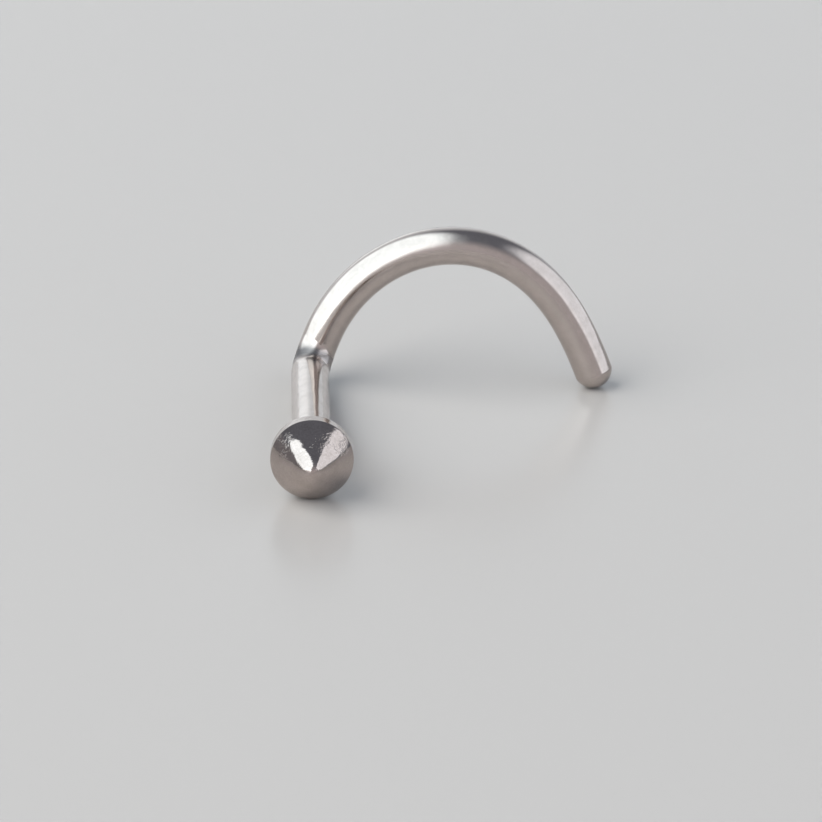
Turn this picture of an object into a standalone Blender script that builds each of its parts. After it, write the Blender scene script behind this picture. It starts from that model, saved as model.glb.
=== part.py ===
# A nose stud of the nostril screw kind: a small cone head on a straight post,
# whose far end bends up into a C-shaped hook. All of it is one piece of
# polished steel, because the head is soldered to the wire.
# Metres, +Z up. The stud lies on the plane z = 0 on three feet: the back rim
# of its head, the elbow and the tip. The head points along -Y.

import math

import bmesh
import bpy
from mathutils import Matrix, Vector

MM = 0.001

# Head
HEAD_DIAMETER = 2.12 * MM
CONE_HEIGHT = 1.1 * MM  # to the point where the cone's sides would meet
CONE_TIP_RADIUS = 0.09 * MM
BAND_LENGTH = 0.35 * MM
BAND_EDGE_RADIUS = 0.03 * MM
SOCKET_DEPTH = 0.2 * MM  # how far the post is let into the back of the head

# Wire
WIRE_DIAMETER = 1.0 * MM
POST_REACH = 7.1 * MM  # from the back of the head to the middle of the hook's wire
ELBOW_RADIUS = 0.85 * MM  # of the wire's centreline

# Hook, along the wire's centreline
HOOK_LENGTH = 10.37 * MM  # from the elbow to the end of the tip
HOOK_RISE = math.radians(72.3)  # how steeply it leaves the elbow
HOOK_TURN = math.radians(4.5)  # how far its plane is turned towards the head
START_RADIUS = 4.6 * MM
TIGHTEST_RADIUS = 3.1 * MM
END_RADIUS = 17.5 * MM
TIGHTEST_SHARE = 0.545  # share of the hook's length that lies before the tightest place

# Tip: a low dome that leaves the wire's side at a slight edge
TIP_DOME_HEIGHT = 0.38 * MM
TIP_FLAT_DIAMETER = 0.3 * MM
TIP_EDGE_SLOPE = 0.3

# Fineness of the surfaces
HEAD_SIDES = 48
WIRE_BEVEL_RESOLUTION = 14  # gives 32 sides
WIRE_STEP = 0.3 * MM
ELBOW_STEPS = 12
DOME_STEPS = 6
ARC_STEPS = 4
AXIS_MERGE = 1e-7
CAP_MERGE = 1e-7
SMOOTH_ANGLE = math.radians(35)
SETTLING_ROUNDS = 12

WIRE_RADIUS = WIRE_DIAMETER / 2
HEAD_RADIUS = HEAD_DIAMETER / 2
POST_AXIS = Vector((0, 1, 0))


def clear_scene():
    for scene_object in list(bpy.data.objects):
        bpy.data.objects.remove(scene_object)


def new_collection(name):
    collection = bpy.data.collections.new(name)
    bpy.context.scene.collection.children.link(collection)
    return collection


def polished_steel():
    material = bpy.data.materials.new("polished_steel")
    material.use_nodes = True
    shader = material.node_tree.nodes["Principled BSDF"]
    shader.inputs["Base Color"].default_value = (0.6, 0.58, 0.57, 1)
    shader.inputs["Metallic"].default_value = 1.0
    shader.inputs["Roughness"].default_value = 0.12
    return material


def rounded_corner(before, corner, after, radius):
    """The arc that rounds a corner of a profile which turns clockwise there."""
    into = (corner - before).normalized()
    out = (after - corner).normalized()
    turn = into.angle(out)
    start = corner - into * radius * math.tan(turn / 2)
    centre = start + Vector((into.y, -into.x)) * radius
    spoke = start - centre
    return [
        centre + Matrix.Rotation(-turn * step / ARC_STEPS, 2) @ spoke
        for step in range(ARC_STEPS + 1)
    ]


def head_profile():
    """The head's outline as (radius, height), from the cone's tip down to the back face.

    Height 0 is the cone's base, and the band lies below it.
    """
    half_angle = math.atan2(HEAD_RADIUS, CONE_HEIGHT)
    tip_height = CONE_HEIGHT - CONE_TIP_RADIUS * (1 / math.sin(half_angle) - 1)
    tip = Vector((0, tip_height))
    tip_corner = Vector(((CONE_HEIGHT - tip_height) * math.tan(half_angle), tip_height))
    base_edge = Vector((HEAD_RADIUS, 0))
    back_edge = Vector((HEAD_RADIUS, -BAND_LENGTH))
    back_centre = Vector((0, -BAND_LENGTH))

    profile = rounded_corner(tip, tip_corner, base_edge, CONE_TIP_RADIUS)
    profile[0] = tip
    profile += rounded_corner(tip_corner, base_edge, back_edge, BAND_EDGE_RADIUS)
    profile += rounded_corner(base_edge, back_edge, back_centre, BAND_EDGE_RADIUS)
    profile.append(back_centre)
    return profile


def make_head(collection, material):
    """The turned head, with its axis along the object's own Z and the tip up."""
    mesh = bpy.data.meshes.new("nose_stud")
    bm = bmesh.new()
    points = [bm.verts.new((radius, 0, height)) for radius, height in head_profile()]
    for upper, lower in zip(points, points[1:]):
        bm.edges.new((upper, lower))
    bm.to_mesh(mesh)
    bm.free()
    mesh.materials.append(material)
    head = bpy.data.objects.new("nose_stud", mesh)
    collection.objects.link(head)

    turning = head.modifiers.new("turning", "SCREW")
    turning.axis = "Z"
    turning.angle = math.tau
    turning.steps = HEAD_SIDES
    turning.render_steps = HEAD_SIDES
    turning.use_merge_vertices = True
    turning.merge_threshold = AXIS_MERGE
    turning.use_smooth_shade = True
    return head


def eased(share):
    return share * share * (3 - 2 * share)


def hook_curvature(share):
    """The curvature at a share of the hook's length: it eases up to the tightest place, then down."""
    start, tightest, end = 1 / START_RADIUS, 1 / TIGHTEST_RADIUS, 1 / END_RADIUS
    if share < TIGHTEST_SHARE:
        return start + (tightest - start) * eased(share / TIGHTEST_SHARE)
    return tightest + (end - tightest) * eased((share - TIGHTEST_SHARE) / (1 - TIGHTEST_SHARE))


def hook_axes():
    """The directions along the floor and up the hook's plane."""
    return Vector((math.cos(HOOK_TURN), -math.sin(HOOK_TURN), 0)), Vector((0, 0, 1))


def in_hook_plane(angle):
    along, up = hook_axes()
    return along * math.cos(angle) + up * math.sin(angle)


def tip_radius(beyond_edge):
    """The wire's radius at a distance past the dome's edge: part of a circle about a point on the axis."""
    centre_back = WIRE_RADIUS * TIP_EDGE_SLOPE
    end_radius = TIP_FLAT_DIAMETER / 2
    reach = math.sqrt(WIRE_RADIUS**2 - end_radius**2)
    bulge = (centre_back + beyond_edge) ** 2 - centre_back**2
    full_bulge = (centre_back + TIP_DOME_HEIGHT) ** 2 - centre_back**2
    return math.sqrt(WIRE_RADIUS**2 - reach**2 * bulge / full_bulge)


def post_rings():
    """The post as rings, each with its centre, its axis and its radius."""
    start = POST_AXIS * -SOCKET_DEPTH
    end = POST_AXIS * (POST_REACH - ELBOW_RADIUS)
    return [(start, POST_AXIS, WIRE_RADIUS), (end, POST_AXIS, WIRE_RADIUS)]


def elbow_rings():
    """The quarter turn from the post into the hook, whose first ring ends the post."""
    hook_start = in_hook_plane(HOOK_RISE)
    sideways = (hook_start - POST_AXIS * hook_start.dot(POST_AXIS)).normalized()
    whole_turn = POST_AXIS.angle(hook_start)
    entry = POST_AXIS * (POST_REACH - ELBOW_RADIUS)
    rings = []
    for step in range(1, ELBOW_STEPS + 1):
        turn = whole_turn * step / ELBOW_STEPS
        centre = entry + ELBOW_RADIUS * (
            POST_AXIS * math.sin(turn) + sideways * (1 - math.cos(turn))
        )
        axis = POST_AXIS * math.cos(turn) + sideways * math.sin(turn)
        rings.append((centre, axis, WIRE_RADIUS))
    return rings


def hook_rings(start):
    """The hook and its domed tip, as rings that follow the hook's curvature."""
    dome_start = HOOK_LENGTH - TIP_DOME_HEIGHT
    steps = math.ceil(dome_start / WIRE_STEP)
    lengths = [dome_start * step / steps for step in range(1, steps + 1)]
    for step in range(1, DOME_STEPS + 1):
        lengths.append(dome_start + TIP_DOME_HEIGHT * math.sin(math.pi / 2 * step / DOME_STEPS))

    rings = []
    centre, angle, before = start, HOOK_RISE, 0
    for length in lengths:
        piece = length - before
        turn = piece * hook_curvature((before + piece / 2) / HOOK_LENGTH)
        centre = centre + in_hook_plane(angle - turn / 2) * piece
        angle -= turn
        radius = tip_radius(length - dome_start) if length > dome_start else WIRE_RADIUS
        rings.append((centre, in_hook_plane(angle), radius))
        before = length
    return rings


def make_wire(collection, material, rings):
    """The whole wire as a closed mesh, swept along the rings' centres."""
    curve = bpy.data.curves.new("wire", "CURVE")
    curve.dimensions = "3D"
    curve.bevel_depth = 1.0
    curve.bevel_resolution = WIRE_BEVEL_RESOLUTION
    curve.use_fill_caps = True
    spline = curve.splines.new("POLY")
    spline.points.add(len(rings) - 1)
    for point, (centre, _, radius) in zip(spline.points, rings):
        point.co = (*centre, 1)
        point.radius = radius
    guide = bpy.data.objects.new("wire_guide", curve)
    collection.objects.link(guide)

    bpy.context.view_layer.update()
    graph = bpy.context.evaluated_depsgraph_get()
    mesh = bpy.data.meshes.new_from_object(guide.evaluated_get(graph))
    mesh.name = "wire"
    bm = bmesh.new()
    bm.from_mesh(mesh)
    bmesh.ops.remove_doubles(bm, verts=bm.verts, dist=CAP_MERGE)
    bmesh.ops.recalc_face_normals(bm, faces=bm.faces)
    bm.to_mesh(mesh)
    bm.free()
    mesh.shade_smooth()
    mesh.set_sharp_from_angle(angle=SMOOTH_ANGLE)
    mesh.materials.clear()
    mesh.materials.append(material)

    wire = bpy.data.objects.new("wire", mesh)
    wire.matrix_world = guide.matrix_world
    collection.objects.link(wire)
    bpy.data.objects.remove(guide)
    wire.hide_render = True
    wire.display_type = "WIRE"
    return wire


def lowest_point(rings, down):
    points = []
    for centre, axis, radius in rings:
        outward = down - axis * down.dot(axis)
        points.append(centre + outward.normalized() * radius)
    return max(points, key=lambda point: point.dot(down))


def resting_rotation(feet):
    """The rotation that puts the lowest points of three groups of rings at one height.

    The head, the tip and the elbow are the groups, and the post stays square to X.
    """
    up = Vector((0, 0, 1))
    for _ in range(SETTLING_ROUNDS):
        head, tip, elbow = (lowest_point(rings, -up) for rings in feet)
        up = (tip - head).cross(elbow - head).normalized()
    back = (POST_AXIS - up * POST_AXIS.dot(up)).normalized()
    return Matrix((back.cross(up), back, up)).to_4x4()


def stand_on_floor(frame, stud):
    """Moves the frame so that the stud's box stands on z = 0, centred on the origin."""
    bpy.context.view_layer.update()
    graph = bpy.context.evaluated_depsgraph_get()
    evaluated = stud.evaluated_get(graph)
    corners = [evaluated.matrix_world @ vertex.co for vertex in evaluated.to_mesh().vertices]
    evaluated.to_mesh_clear()
    low = Vector(min(corner[axis] for corner in corners) for axis in range(3))
    high = Vector(max(corner[axis] for corner in corners) for axis in range(3))
    frame.location -= Vector(((low.x + high.x) / 2, (low.y + high.y) / 2, low.z))


def build_nose_stud():
    clear_scene()
    parts = new_collection("nose_stud_parts")
    guides = new_collection("nose_stud_guides")
    steel = polished_steel()

    elbow = elbow_rings()
    hook = hook_rings(elbow[-1][0])
    post = post_rings()
    band = [(Vector((0, 0, 0)), POST_AXIS, HEAD_RADIUS - BAND_EDGE_RADIUS)]
    band += [(POST_AXIS * -BAND_EDGE_RADIUS, POST_AXIS, HEAD_RADIUS)]

    frame = bpy.data.objects.new("resting_frame", None)
    parts.objects.link(frame)

    stud = make_head(parts, steel)
    stud.parent = frame
    stud.location = POST_AXIS * -BAND_LENGTH
    stud.rotation_euler = (math.pi / 2, 0, 0)

    wire = make_wire(guides, steel, post + elbow + hook)
    wire.parent = frame

    soldering = stud.modifiers.new("soldering", "BOOLEAN")
    soldering.operation = "UNION"
    soldering.solver = "EXACT"
    soldering.object = wire

    frame.matrix_world = resting_rotation((band, hook, post[1:] + elbow))
    stand_on_floor(frame, stud)


build_nose_stud()
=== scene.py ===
import math

import bpy
import numpy as np
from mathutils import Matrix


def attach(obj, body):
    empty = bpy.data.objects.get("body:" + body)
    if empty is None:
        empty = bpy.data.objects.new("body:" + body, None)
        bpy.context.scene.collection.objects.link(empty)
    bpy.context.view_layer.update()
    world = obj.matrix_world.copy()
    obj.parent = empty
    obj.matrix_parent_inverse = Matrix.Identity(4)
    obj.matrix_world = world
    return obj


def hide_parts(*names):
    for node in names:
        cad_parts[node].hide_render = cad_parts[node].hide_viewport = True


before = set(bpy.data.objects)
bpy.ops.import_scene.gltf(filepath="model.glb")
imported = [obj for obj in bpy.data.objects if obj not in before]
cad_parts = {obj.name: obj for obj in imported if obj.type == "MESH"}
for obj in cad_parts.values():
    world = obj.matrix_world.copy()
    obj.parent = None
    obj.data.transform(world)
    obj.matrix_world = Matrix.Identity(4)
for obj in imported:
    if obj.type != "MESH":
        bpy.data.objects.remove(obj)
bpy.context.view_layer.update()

mm = 0.001
sideways = np.array([1.0, 0.0, 0.0])
postAxis = np.array([0.0, 1.0, 0.0])
upwards = np.array([0.0, 0.0, 1.0])

head = {
    "diameter": 2.12,
    "coneSlope": 0.95,  # rise of the cone's side for each step outwards, midway
    "tipShare": 0.2,  # share of the radius over which the tip rounds off
    "crown": 0.65,  # how much steeper the side gets toward the rim
    "bandLength": 0.35,
    "edgeRounding": 0.03,
    "around": 192,
    "coneRings": 96,
    "coneSpread": 1.3,  # above 1, the rings lie closer toward the tip
    "coneGap": 0.004,  # least drop in radius from the cone's last ring to the rim
    "bandRings": 10,
    "backRings": 8,
}
wire = {
    "diameter": 1.0,
    "socketDepth": 0.2,
    "solderFillet": 0.07,
    "postReach": 7.1,  # back of the head to the middle of the hook's wire
    "elbowRadius": 0.85,
    "hookLength": 10.37,
    "hookRise": math.radians(72.3),
    "hookTurn": math.radians(4.5),
    "startRadius": 4.6,
    "tightestRadius": 3.1,
    "endRadius": 17.5,
    "tightestShare": 0.545,
    "domeHeight": 0.38,
    "endFlat": 0.3,
    "edgeSlope": 0.3,
    "around": 128,
    "flareRings": 9,
    "postRings": 80,
    "elbowRings": 80,
    "hookRings": 360,
    "domeRings": 26,
}


# Arc that rounds a corner of a (reach, radius) line: it leaves each side where
# the circle touches it, and sweeps through the angle between the sides.
def roundedCorner(before, corner, after, rounding, steps=8):
    before, corner, after = (np.array(point, float) for point in (before, corner, after))
    into = (corner - before) / np.linalg.norm(corner - before)
    out = (after - corner) / np.linalg.norm(after - corner)
    turn = math.atan2(into[0] * out[1] - into[1] * out[0], into @ out)
    start = corner - into * rounding * math.tan(abs(turn) / 2)
    side = np.array([-into[1], into[0]]) * math.copysign(1, turn)
    sweep = np.linspace(0, abs(turn), steps + 1)[:, None]
    return start + side * rounding - rounding * (side * np.cos(sweep) - into * np.sin(sweep))


# Evenly spaced points between the end of one run and the start of the next.
def straightRun(start, end, count):
    share = np.linspace(0, 1, count + 2)[1:-1, None]
    return np.array(start) + (np.array(end) - np.array(start)) * share


# How far the cone has dropped from its tip at q, the share of the rim's radius:
# R (m (sqrt(q^2 + c^2) - c) + k q^3 / 3), a cone with a round tip and full sides.
def coneDrop(q):
    slope, tip, crown = head["coneSlope"], head["tipShare"], head["crown"]
    return head["diameter"] / 2 * (slope * (np.sqrt(q**2 + tip**2) - tip) + crown * q**3 / 3)


# Outline of the turned head as (reach along the post, radius), from the tip of
# the cone to the middle of the flat back, which lies at reach 0.
def headOutline():
    radius = head["diameter"] / 2
    q = np.linspace(0, 1, head["coneRings"]) ** head["coneSpread"]
    cone = np.stack([coneDrop(q) - coneDrop(1.0) - head["bandLength"], radius * q], -1)
    base, back = (-head["bandLength"], radius), (0, radius)
    rim = roundedCorner(cone[-2], base, back, head["edgeRounding"])
    cone = cone[cone[:, 1] < rim[0, 1] - head["coneGap"]]
    heel = roundedCorner(base, back, (0, 0), head["edgeRounding"])
    band = straightRun(rim[-1], heel[0], head["bandRings"])
    backFace = straightRun(heel[-1], (0, 0), head["backRings"])
    return np.vstack([cone, rim, band, heel, backFace, [(0, 0)]])


# Start of the wire as (reach, radius): its end in the socket, then the solder
# that flares out to meet the back of the head.
def socketOutline():
    radius, fillet, depth = wire["diameter"] / 2, wire["solderFillet"], wire["socketDepth"]
    flare = np.linspace(0, math.pi / 2, wire["flareRings"] + 1)[1:, None]
    reach, height = fillet - fillet * np.cos(flare), radius + fillet - fillet * np.sin(flare)
    solder = np.hstack([reach, height])
    return np.vstack([(-depth, 0), (-depth, radius), (0, radius + fillet), solder])


# Curvature along the hook: it eases up to the tightest place, then down.
def hookCurvature(share):
    names = ("startRadius", "tightestRadius", "endRadius")
    start, tightest, end = (1 / wire[name] for name in names)
    top = wire["tightestShare"]
    rising, falling = np.clip(share / top, 0, 1), np.clip((share - top) / (1 - top), 0, 1)
    rising, falling = (x * x * (3 - 2 * x) for x in (rising, falling))
    return start + (tightest - start) * rising + (end - tightest) * falling


# Radius of the wire past the edge of its domed end: its square falls with the
# square of the distance from a point a little before the edge.
def domeRadius(beyond):
    wireRadius, endRadius = wire["diameter"] / 2, wire["endFlat"] / 2
    back = wireRadius * wire["edgeSlope"]
    bulge = ((back + beyond) ** 2 - back**2) / ((back + wire["domeHeight"]) ** 2 - back**2)
    return np.sqrt(wireRadius**2 - (wireRadius**2 - endRadius**2) * bulge)


# Rings about the post for an outline of (reach, radius): each has a centre, the
# two directions that its circle lies in, and a radius.
def turnedRings(outline):
    reach, radius = outline[:, :1], outline[:, 1]
    first, second = (np.tile(way, (len(outline), 1)) for way in (sideways, upwards))
    return postAxis * reach, first, second, radius


# Rings along the whole wire, and how many of them come before the elbow. The
# elbow turns the wire about one fixed line and the hook about another, so the
# circles never twist along the way.
def wireRings():
    wireRadius = wire["diameter"] / 2
    alongFloor = np.array([math.cos(wire["hookTurn"]), -math.sin(wire["hookTurn"]), 0])
    rise = wire["hookRise"]
    hookStart = alongFloor * math.cos(rise) + upwards * math.sin(rise)
    hookInside = alongFloor * math.sin(rise) - upwards * math.cos(rise)
    elbowHinge = np.cross(postAxis, hookStart)
    elbowHinge /= np.linalg.norm(elbowHinge)
    elbowSide = np.cross(elbowHinge, postAxis)

    outline = socketOutline()
    elbowStart = wire["postReach"] - wire["elbowRadius"]
    post = straightRun(outline[-1], (elbowStart, wireRadius), wire["postRings"])
    straight = np.vstack([outline, post, [(elbowStart, wireRadius)]])

    turn = np.linspace(0, math.acos(postAxis @ hookStart), wire["elbowRings"] + 1)[1:, None]
    elbowMove = postAxis * np.sin(turn) + elbowSide * (1 - np.cos(turn))
    elbowCentre = postAxis * elbowStart + wire["elbowRadius"] * elbowMove
    elbowInside = elbowSide * np.cos(turn) - postAxis * np.sin(turn)

    domeStart = wire["hookLength"] - wire["domeHeight"]
    dome = np.sin(np.linspace(0, math.pi / 2, wire["domeRings"] + 1)[1:]) * wire["domeHeight"]
    length = np.append(np.linspace(0, domeStart, wire["hookRings"] + 1), domeStart + dome)
    step = np.diff(length)
    bend = step * hookCurvature((length[:-1] + step / 2) / wire["hookLength"])
    angle = rise - np.append(0, np.cumsum(bend))
    middle = ((angle[:-1] + angle[1:]) / 2)[:, None]
    hookMove = step[:, None] * (alongFloor * np.cos(middle) + upwards * np.sin(middle))
    hookCentre = elbowCentre[-1] + np.cumsum(hookMove, axis=0)
    angle = angle[1:, None]
    hookInside = np.vstack([hookInside, alongFloor * np.sin(angle) - upwards * np.cos(angle)])
    hookHinge = np.cross(hookStart, hookInside[0])
    beyond = np.maximum(length[1:] - domeStart, 0)

    # the hook's circles carry on from the elbow's last one, which lies turned by this
    offset = math.atan2(elbowInside[-1] @ hookHinge, elbowInside[-1] @ hookInside[0])
    hookFirst = hookInside[1:] * math.cos(offset) + hookHinge * math.sin(offset)
    hookSecond = hookHinge * math.cos(offset) - hookInside[1:] * math.sin(offset)

    straightCount, elbowCount = len(straight), len(turn)
    centre = np.vstack([postAxis * straight[:, :1], elbowCentre, hookCentre, hookCentre[-1:]])
    straightFirst = np.tile(elbowSide, (straightCount, 1))
    first = np.vstack([straightFirst, elbowInside, hookFirst, hookFirst[-1:]])
    bothSecond = np.tile(elbowHinge, (straightCount + elbowCount, 1))
    second = np.vstack([bothSecond, hookSecond, hookSecond[-1:]])
    elbowRadii = np.full(elbowCount, wireRadius)
    radius = np.concatenate([straight[:, 1], elbowRadii, domeRadius(beyond), [0]])
    return (centre, first, -second, radius), straightCount  # minus, so that faces point outwards


# Points of a closed surface of rings: centre + radius (first cos a + second sin
# a), and one point at each end, where the radius is nothing.
def ringPoints(rings, around):
    centre, first, second, radius = rings
    a = np.linspace(0, 2 * math.pi, around, endpoint=False)[None, :, None]
    circle = first[1:-1, None] * np.cos(a) + second[1:-1, None] * np.sin(a)
    body = centre[1:-1, None] + radius[1:-1, None, None] * circle
    return np.vstack([centre[:1], body.reshape(-1, 3), centre[-1:]])


# Turn that sets the head's rim, the hook's end and the elbow on the floor: the
# upward direction is square to the three lowest points, found again each round.
def restingTurn(headPoints, wirePoints, straightCount, rounds=12):
    perRing = wire["around"]
    elbowStart = 1 + (straightCount - 2) * perRing
    elbowEnd = elbowStart + wire["elbowRings"] * perRing
    feet = (headPoints, wirePoints[elbowEnd:], wirePoints[elbowStart:elbowEnd])
    up = upwards
    for _ in range(rounds):
        headFoot, tipFoot, elbowFoot = (points[np.argmin(points @ up)] for points in feet)
        up = np.cross(tipFoot - headFoot, elbowFoot - headFoot)
        up /= np.linalg.norm(up)
    back = postAxis - up * (postAxis @ up)
    back /= np.linalg.norm(back)
    return np.array([np.cross(back, up), back, up])


# Mesh of a ringed surface: quads between rings, a fan at each end, and a UV map
# whose U is the share of the way round and V the way along in millimetres.
def ringedMesh(name, points, along, around):
    rings = (len(points) - 2) // around
    place = 1 + np.arange(rings * around).reshape(rings, around)
    onward = np.roll(place, -1, axis=1)
    quads = np.stack([place[:-1], place[1:], onward[1:], onward[:-1]], -1).reshape(-1, 4)
    startFan = np.stack([np.zeros(around, int), place[0], onward[0]], -1)
    endFan = np.stack([np.full(around, len(points) - 1), onward[-1], place[-1]], -1)
    mesh = bpy.data.meshes.new(name)
    faces = startFan.tolist() + quads.tolist() + endFan.tolist()
    mesh.from_pydata((points * mm).tolist(), [], faces)
    mesh.polygons.foreach_set("use_smooth", np.ones(len(mesh.polygons), bool))

    share, nextShare = np.arange(around) / around, (np.arange(around) + 1) / around
    v = along[1:-1]
    vLow, vHigh = np.repeat(v[:-1], around), np.repeat(v[1:], around)
    u, uNext = np.tile(share, rings - 1), np.tile(nextShare, rings - 1)
    quadUv = np.stack([u, vLow, u, vHigh, uNext, vHigh, uNext, vLow], -1)
    middle = (share + nextShare) / 2

    # a fan's triangle: the end point, then two points of the ring beside it
    def fanUv(endV, ringV, uOne, uTwo):
        endV, ringV = np.full(around, endV), np.full(around, ringV)
        return np.stack([middle, endV, uOne, ringV, uTwo, ringV], -1).ravel()

    startUv = fanUv(along[0], v[0], share, nextShare)
    endUv = fanUv(along[-1], v[-1], nextShare, share)
    allUv = np.concatenate([startUv, quadUv.ravel(), endUv]).astype(np.float32)
    mesh.uv_layers.new(name="surface").data.foreach_set("uv", allUv)
    mesh.update()
    return mesh


# Distance along a ringed surface: the sum of its steps from ring to ring, each
# sqrt(move of the centre^2 + change of the radius^2).
def distanceAlong(rings):
    centre, radius = rings[0], rings[3]
    moved = np.hypot(np.linalg.norm(np.diff(centre, axis=0), axis=1), np.diff(radius))
    return np.append(0, np.cumsum(moved))


headRings = turnedRings(headOutline())
wholeWire, straightCount = wireRings()
headPoints = ringPoints(headRings, head["around"])
wirePoints = ringPoints(wholeWire, wire["around"])
turn = restingTurn(headPoints, wirePoints, straightCount)
headPoints, wirePoints = headPoints @ turn.T, wirePoints @ turn.T
everything = np.vstack([headPoints, wirePoints])
low, high = everything.min(axis=0), everything.max(axis=0)
seat = np.array([(low[0] + high[0]) / 2, (low[1] + high[1]) / 2, low[2]])
headPoints, wirePoints = headPoints - seat, wirePoints - seat
headAlong, wireAlong = distanceAlong(headRings), distanceAlong(wholeWire)
headMesh = ringedMesh("stud_head", headPoints, headAlong, head["around"])
wireMesh = ringedMesh("stud_wire", wirePoints, wireAlong, wire["around"])
elbowFrom = float(wireAlong[straightCount])
print("head", len(headMesh.polygons), "faces, wire", len(wireMesh.polygons), "faces")


# A socket that can be used in ordinary sums: each operator adds one Math node.
class Signal:
    def __init__(self, tree, socket=None):
        self.tree = tree
        self.socket = socket

    # adds a node: its settings come first, then a value or a link for each socket
    def add(self, kind, settings=None, sockets=None, output=0):
        node = self.tree.nodes.new(kind)
        for name, value in (settings or {}).items():
            setattr(node, name, value)
        for name, value in (sockets or {}).items():
            if isinstance(value, Signal):
                self.tree.links.new(value.socket, node.inputs[name])
            else:
                node.inputs[name].default_value = value
        return Signal(self.tree, node.outputs[output] if node.outputs else None)

    def maths(self, operation, *values):
        return self.add("ShaderNodeMath", {"operation": operation}, dict(enumerate(values)))

    def __add__(self, other):
        return self.maths("ADD", self, other)

    def __radd__(self, other):
        return self.maths("ADD", other, self)

    def __sub__(self, other):
        return self.maths("SUBTRACT", self, other)

    def __rsub__(self, other):
        return self.maths("SUBTRACT", other, self)

    def __mul__(self, other):
        return self.maths("MULTIPLY", self, other)

    def __rmul__(self, other):
        return self.maths("MULTIPLY", other, self)

    def __truediv__(self, other):
        return self.maths("DIVIDE", self, other)

    def __rtruediv__(self, other):
        return self.maths("DIVIDE", other, self)

    def __pow__(self, other):
        return self.maths("POWER", self, other)

    def __rpow__(self, other):
        return self.maths("POWER", other, self)

    # 0 below low, 1 above high, eased between them; high may lie below low
    def eased(self, low, high):
        settings = {"interpolation_type": "SMOOTHSTEP"}
        sockets = {"Value": self, "From Min": low, "From Max": high}
        return self.add("ShaderNodeMapRange", settings, sockets)

    # the colour low where this is 0, and high where it is 1
    def blend(self, low, high):
        settings = {"data_type": "RGBA", "clamp_factor": False}
        return self.add("ShaderNodeMix", settings, {"Factor": self, 6: low, 7: high}, output=2)


def opaque(colour):
    return (*colour, 1)


# Finishes in millimetres: a relief is the size of its features and their height.
# Limits are the values of a noise between which its effect grows.
wear = {"size": 0.3, "detail": 3.0, "limits": (0.35, 0.75)}
headFinish = {
    "colour": (0.53, 0.462, 0.428),
    "dull": (0.475, 0.412, 0.378),
    "roughness": (0.06, 0.11),
    "dents": {"size": 0.42, "height": 0.008},
    "ripples": {"size": 0.14, "height": 0.0025},
    "rings": {"pitch": 0.055, "height": 0.0005, "fade": 0.6},
    "pits": {"size": 0.06, "height": 0.0035, "limits": (0.45, 0.7)},
    "pitPatches": {"size": 0.5, "limits": (0.5, 0.62)},
    "grain": {"size": 0.05, "contrast": 3},
}
wireFinish = {
    "colour": (0.57, 0.505, 0.47),
    "dull": (0.53, 0.47, 0.435),
    "roughness": (0.12, 0.2),
    "dents": {"size": 1.1, "height": 0.02},
    "ripples": {"size": 0.22, "height": 0.001},
    "scratches": {"size": 0.03, "height": 0.0002, "stretch": 14, "girth": 3.14},
    "grain": {"size": 0.08, "contrast": 1.5},
    "bend": {  # rougher, with painted shade: from and to are past the elbow's start, left and right lie on X
        "from": 0.3, "to": 0.85, "edge": 0.2, "raggedSize": 0.35, "ragged": 0.3,
        "roughness": 0.3, "left": -3.7, "right": -3.2,
        "leftPaintedShade": (0.13, 0.12, 0.12), "rightPaintedShade": (0.36, 0.33, 0.32),
    },
}


# Noise with features of the given size.
def lumps(place, size, detail=2.0):
    sockets = {"Vector": place, "Scale": 1 / (size * mm), "Detail": detail, "Roughness": 0.5}
    return place.add("ShaderNodeTexNoise", None, sockets)


# Relief of the head: soft dents, ripples, rings from turning that fade away from
# the tip, and pits where a broad noise passes a limit.
def headRelief(place, along):
    dents, ripples, rings = (headFinish[name] for name in ("dents", "ripples", "rings"))
    pits, patches = headFinish["pits"], headFinish["pitPatches"]
    relief = lumps(place, dents["size"], 1.0) * dents["height"]
    relief += lumps(place, ripples["size"]) * ripples["height"]
    turned = along.maths("SINE", along * (2 * math.pi / rings["pitch"]))
    relief += turned * along.eased(rings["fade"], 0.0) * rings["height"]
    patchy = lumps(place, patches["size"], 1.0).eased(*patches["limits"])
    pitted = lumps(place, pits["size"], 3.0).eased(*pits["limits"])
    return relief - patchy * pitted * pits["height"]


# Relief of the wire: soft dents, ripples, and scratches drawn out along it. The
# girth is the way round the wire, over which U goes from 0 to 1.
def wireRelief(place, along):
    dents, ripples, scratches = (wireFinish[name] for name in ("dents", "ripples", "scratches"))
    relief = lumps(place, dents["size"], 1.0) * dents["height"]
    relief += lumps(place, ripples["size"]) * ripples["height"]
    uv = along.add("ShaderNodeUVMap", {"uv_map": "surface"})
    stretch = (scratches["girth"], 1 / scratches["stretch"], 0)
    drawn = uv.add("ShaderNodeVectorMath", {"operation": "MULTIPLY"}, {0: uv, 1: stretch})
    sockets = {"Vector": drawn, "Scale": 1 / scratches["size"], "Detail": 2.0}
    return relief + uv.add("ShaderNodeTexNoise", None, sockets) * scratches["height"]


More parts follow.
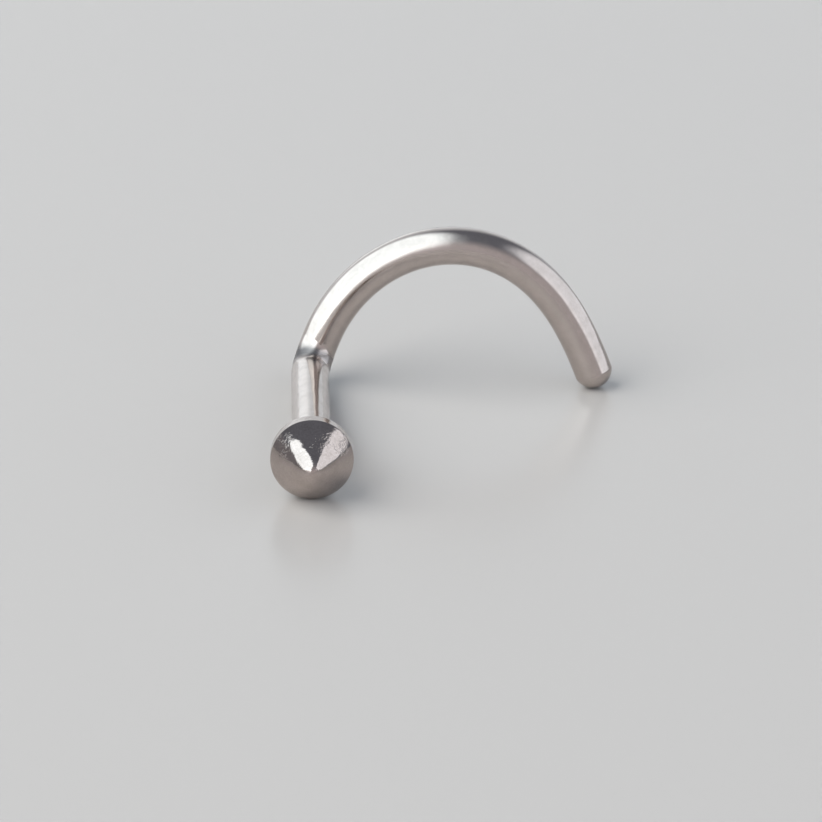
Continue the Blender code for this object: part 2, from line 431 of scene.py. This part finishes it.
# Worn places are duller and rougher, and a fine grain varies the colour.
def polishedSteel(name, finish, reliefOf):
    material = bpy.data.materials.new(name)
    material.use_nodes = True
    shader = material.node_tree.nodes["Principled BSDF"]
    shader.inputs["Metallic"].default_value = 1.0
    place = Signal(material.node_tree).add("ShaderNodeTexCoord", output=3)
    uv = place.add("ShaderNodeUVMap", {"uv_map": "surface"})
    along = uv.add("ShaderNodeSeparateXYZ", None, {0: uv}, output=1)
    relief = {"Strength": 1.0, "Distance": mm, "Height": reliefOf(place, along)}
    normal = place.add("ShaderNodeBump", None, relief)
    worn = lumps(place, wear["size"], wear["detail"]).eased(*wear["limits"])
    grain = (lumps(place, finish["grain"]["size"]) - 0.5) * finish["grain"]["contrast"]
    smooth, rough = finish["roughness"]
    colour = (worn + grain).blend(opaque(finish["colour"]), opaque(finish["dull"]))
    roughness = worn * (rough - smooth) + smooth
    if "bend" in finish:  # the sharp bend is rougher, and its colour is painted dark, darkest on its left side: painted shade
        bend = finish["bend"]
        first, last, edge = elbowFrom + bend["from"], elbowFrom + bend["to"], bend["edge"]
        along = along + (lumps(place, bend["raggedSize"]) - 0.5) * bend["ragged"]
        roughAndPaintedShade = along.eased(first - edge, first + edge) * along.eased(last + edge, last - edge)
        across = place.add("ShaderNodeSeparateXYZ", None, {0: place}, output=0) / mm
        # painted shade: the bend's colour runs from near black on its left side to dark grey on its
        # right
        paintedShadeColour = across.eased(bend["left"], bend["right"]).blend(
            opaque(bend["leftPaintedShade"]), opaque(bend["rightPaintedShade"])
        )
        colour = roughAndPaintedShade.blend(colour, paintedShadeColour)
        roughness = roughness + roughAndPaintedShade * (bend["roughness"] - roughness)
    links = {"Base Color": colour, "Roughness": roughness, "Normal": normal}
    for socket, signal in links.items():
        material.node_tree.links.new(signal.socket, shader.inputs[socket])
    return material


def placePiece(name, mesh, material):
    piece = bpy.data.objects.new(name, mesh)
    bpy.context.scene.collection.objects.link(piece)
    mesh.materials.append(material)
    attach(piece, "root")
    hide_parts("nose_stud")
    return piece


headSteel = polishedSteel("polished_head", headFinish, headRelief)
wireSteel = polishedSteel("polished_wire", wireFinish, wireRelief)
headPiece = placePiece("stud_head", headMesh, headSteel)
wirePiece = placePiece("stud_wire", wireMesh, wireSteel)
print("steel placed")

sheet = {
    "reach": 0.6,  # m
    "colour": (0.45, 0.45, 0.45),
    "roughness": 0.24,
    "specular": 0.62,
}


def floorSheet():
    reach = sheet["reach"]
    mesh = bpy.data.meshes.new("floor")
    corners = [(-reach, -reach, 0), (reach, -reach, 0), (reach, reach, 0), (-reach, reach, 0)]
    mesh.from_pydata(corners, [], [(0, 1, 2, 3)])
    material = bpy.data.materials.new("pale_sheet")
    material.use_nodes = True
    shader = material.node_tree.nodes["Principled BSDF"]
    shader.inputs["Base Color"].default_value = opaque(sheet["colour"])
    shader.inputs["Roughness"].default_value = sheet["roughness"]
    shader.inputs["Specular IOR Level"].default_value = sheet["specular"]
    mesh.materials.append(material)
    floor = bpy.data.objects.new("floor", mesh)
    bpy.context.scene.collection.objects.link(floor)
    return floor


floor = floorSheet()

# Studio on a map of the sky: its middle is straight up, X is degrees to the
# right, Y degrees away from the camera, and 90 is the horizon. Each patch is a
# rounded rectangle that fades out at its edge, and lies over those before it.
studio = {
    "ceiling": (0.168, 0.184, 0.22),
    "below": (0.6, 0.6, 0.6),
    "horizonEdge": 0.01,
    "patches": {
        "leftWall": {
            "middle": (-105, -5), "half": (42, 60), "power": 3, "softness": 0.15,
            "colour": (0.24, 0.24, 0.26),
        },
        "behindCamera": {
            "middle": (10, -112), "half": (95, 66), "power": 4, "softness": 0.38,
            "colour": (0.56, 0.535, 0.555),
        },
        "farWall": {
            "middle": (-50, 112), "half": (112, 70), "power": 2, "softness": 0.27,
            "colour": (0.82, 0.88, 0.93),
        },
        "windowFoot": {
            "middle": (-60, -72), "half": (42, 30), "power": 2, "softness": 0.3,
            "colour": (1.0, 1.02, 1.05),
        },
        "farLeft": {
            "middle": (-22, 80), "half": (18, 16), "power": 3, "softness": 0.4,
            "colour": (1.04, 1.11, 1.16),
        },
    },
}


# The sky map's own coordinates for a direction: the angle from straight up, laid
# out along the direction's heading.
def skyPlace(direction):
    parts = direction.add("ShaderNodeSeparateXYZ", None, {0: direction}).socket.node
    x, y, z = (Signal(direction.tree, parts.outputs[axis]) for axis in range(3))
    polar = z.maths("ARCCOSINE", z) * (180 / math.pi)
    perUnit = polar / z.maths("SQRT", x * x + y * y + 1e-9)  # never divides by 0
    return x * perUnit, y * perUnit, z


# 1 inside a rounded rectangle and 0 outside: (|x/a|^p + |y/b|^p)^(1/p) is compared
# with 1. A lean moves x along as y grows, and a tilt moves y along as x grows.
def patchMask(x, y, patch):
    (middleX, middleY), (halfX, halfY), power = patch["middle"], patch["half"], patch["power"]
    offX, offY = x - middleX, y - middleY
    overX = x.maths("ABSOLUTE", offX - offY * patch.get("lean", 0)) / halfX
    overY = y.maths("ABSOLUTE", offY - offX * patch.get("tilt", 0)) / halfY
    away = (overX**power + overY**power) ** (1 / power)
    return away.eased(1 + patch["softness"], 1 - patch["softness"])


def studioWorld():
    world = bpy.data.worlds.new("studio")
    bpy.context.scene.world = world
    world.use_nodes = True
    world.node_tree.nodes.clear()
    x, y, z = skyPlace(Signal(world.node_tree).add("ShaderNodeTexCoord"))
    colour = opaque(studio["ceiling"])
    for patch in studio["patches"].values():
        colour = patchMask(x, y, patch).blend(colour, opaque(patch["colour"]))
    colour = z.eased(0.0, -studio["horizonEdge"]).blend(colour, opaque(studio["below"]))
    background = x.add("ShaderNodeBackground", None, {"Color": colour})
    x.add("ShaderNodeOutputWorld", None, {"Surface": background})


studioWorld()

# Big lamps, each a part of a sphere about the stud, placed on the same map and
# with a radius of its own, the reach in metres. Each lights one thing, and those
# with glossy off don't show in it as glare.
lamps = {
    "window_on_wire": {
        "middle": (-74, -20), "half": (68, 66), "power": 2.6, "softness": 0.16, "lean": 0.08,
        "reach": 0.80, "strength": 1.9, "tint": (0.845, 0.96, 1), "lights": "wire",
    },
    "window_on_floor": {
        "middle": (-42, -10), "half": (30, 38), "power": 2, "softness": 0.1,
        "reach": 0.84, "strength": 4.0, "tint": (1, 0.95, 0.885), "lights": "floor",
        "glossy": False,
    },
    "window_on_head": {
        "middle": (-38.5, -34), "half": (47, 40), "power": 1.1, "softness": 0.05, "lean": -0.375,
        "reach": 0.88, "strength": 2.0, "tint": (0.83, 0.94, 0.985), "lights": "head",
    },
    "far_left_on_wire": {
        "middle": (-25, 82), "half": (17, 12), "power": 3, "softness": 0.4,
        "reach": 0.64, "strength": 0.27, "tint": (0.88, 0.96, 1), "lights": "wire",
    },
    "wall_on_wire": {
        "middle": (116, 16), "half": (80, 72), "power": 4, "softness": 0.11, "lean": 0.22,
        "reach": 0.72, "strength": 1.1, "tint": (0.884, 0.942, 1), "lights": "wire",
    },
    "wall_on_floor": {
        "middle": (116, 16), "half": (80, 72), "power": 4, "softness": 0.11, "lean": 0.22,
        "reach": 0.76, "strength": 1.24, "tint": (0.9, 0.94, 0.97), "lights": "floor",
        "glossy": False,
    },
    "wall_on_head": {
        "middle": (62.5, -14), "half": (25, 33.5), "power": 3, "softness": 0.07, "tilt": 0.3,
        "reach": 0.68, "strength": 1.2, "tint": (0.9, 0.95, 1), "lights": "head",
    },
}
litThings = {"head": headPiece, "wire": wirePiece, "floor": floor}


# Part of a sphere that covers a lamp's patch, worked out from a grid on the map
# and cut off at the horizon.
def lampMesh(name, lamp, steps=91):
    (middleX, middleY), (halfX, halfY) = lamp["middle"], lamp["half"]
    lean, tilt = lamp.get("lean", 0), lamp.get("tilt", 0)
    spread = np.linspace(-1, 1, steps) * (1 + lamp["softness"])
    across, along = np.meshgrid(halfX * spread, halfY * spread)
    x = middleX + (across + lean * along) / (1 - lean * tilt)
    y = middleY + (along + tilt * across) / (1 - lean * tilt)
    fromTop = np.maximum(np.hypot(x, y), 1e-6)  # never 0
    polar = np.radians(np.minimum(fromTop, 90))
    points = np.stack([np.sin(polar) * x / fromTop, np.sin(polar) * y / fromTop, np.cos(polar)], -1)
    points *= lamp["reach"]
    place = np.arange(x.size).reshape(x.shape)
    quads = np.stack([place[:-1, :-1], place[1:, :-1], place[1:, 1:], place[:-1, 1:]], -1)
    quads = quads.reshape(-1, 4)
    quads = quads[(fromTop < 90).ravel()[quads].any(axis=1)]
    mesh = bpy.data.meshes.new(name)
    mesh.from_pydata(points.reshape(-1, 3).tolist(), [], quads.tolist())
    return mesh


# Glow inside the lamp's patch, see-through from either side.
def lampMaterial(name, lamp):
    material = bpy.data.materials.new(name)
    material.use_nodes = True
    material.node_tree.nodes.clear()
    here = Signal(material.node_tree).add("ShaderNodeTexCoord", output=3)
    x, y, z = skyPlace(here.add("ShaderNodeVectorMath", {"operation": "NORMALIZE"}, {0: here}))
    glow = {"Color": opaque(lamp["tint"]), "Strength": patchMask(x, y, lamp) * lamp["strength"]}
    emission = x.add("ShaderNodeEmission", None, glow)
    both = x.add("ShaderNodeAddShader", None, {0: emission, 1: x.add("ShaderNodeBsdfTransparent")})
    x.add("ShaderNodeOutputMaterial", None, {"Surface": both})
    return material


def placeLamp(name, lamp):
    mesh = lampMesh(name, lamp)
    mesh.materials.append(lampMaterial(name, lamp))
    card = bpy.data.objects.new(name, mesh)
    bpy.context.scene.collection.objects.link(card)
    card.visible_camera = False
    card.visible_shadow = False
    card.visible_glossy = lamp.get("glossy", True)
    lit = bpy.data.collections.new("lit_by_" + name)
    lit.objects.link(litThings[lamp["lights"]])
    card.light_linking.receiver_collection = lit


for name, lamp in lamps.items():
    placeLamp(name, lamp)
print("studio lit")

camera = {
    "azimuth": math.radians(1.24),
    "elevation": math.radians(24.14),
    "aimAt": (-0.924, -3.050, 2.208),  # mm
    "distance": 169.6,  # mm
    "lens": 292.95,
    "sensor": 36,
    "clip": (0.01, 10),  # m
}


def placeCamera():
    azimuth, elevation = camera["azimuth"], camera["elevation"]
    level = math.cos(elevation)
    ahead = np.array([math.sin(azimuth) * level, math.cos(azimuth) * level, -math.sin(elevation)])
    data = bpy.data.cameras.new("camera")
    data.lens = camera["lens"]
    data.sensor_width = camera["sensor"]
    data.clip_start, data.clip_end = camera["clip"]
    view = bpy.data.objects.new("camera", data)
    view.location = (np.array(camera["aimAt"]) - ahead * camera["distance"]) * mm
    view.rotation_euler = (math.pi / 2 - elevation, 0, -azimuth)
    bpy.context.scene.collection.objects.link(view)
    bpy.context.scene.camera = view


placeCamera()
bpy.context.scene.view_settings.view_transform = "Standard"
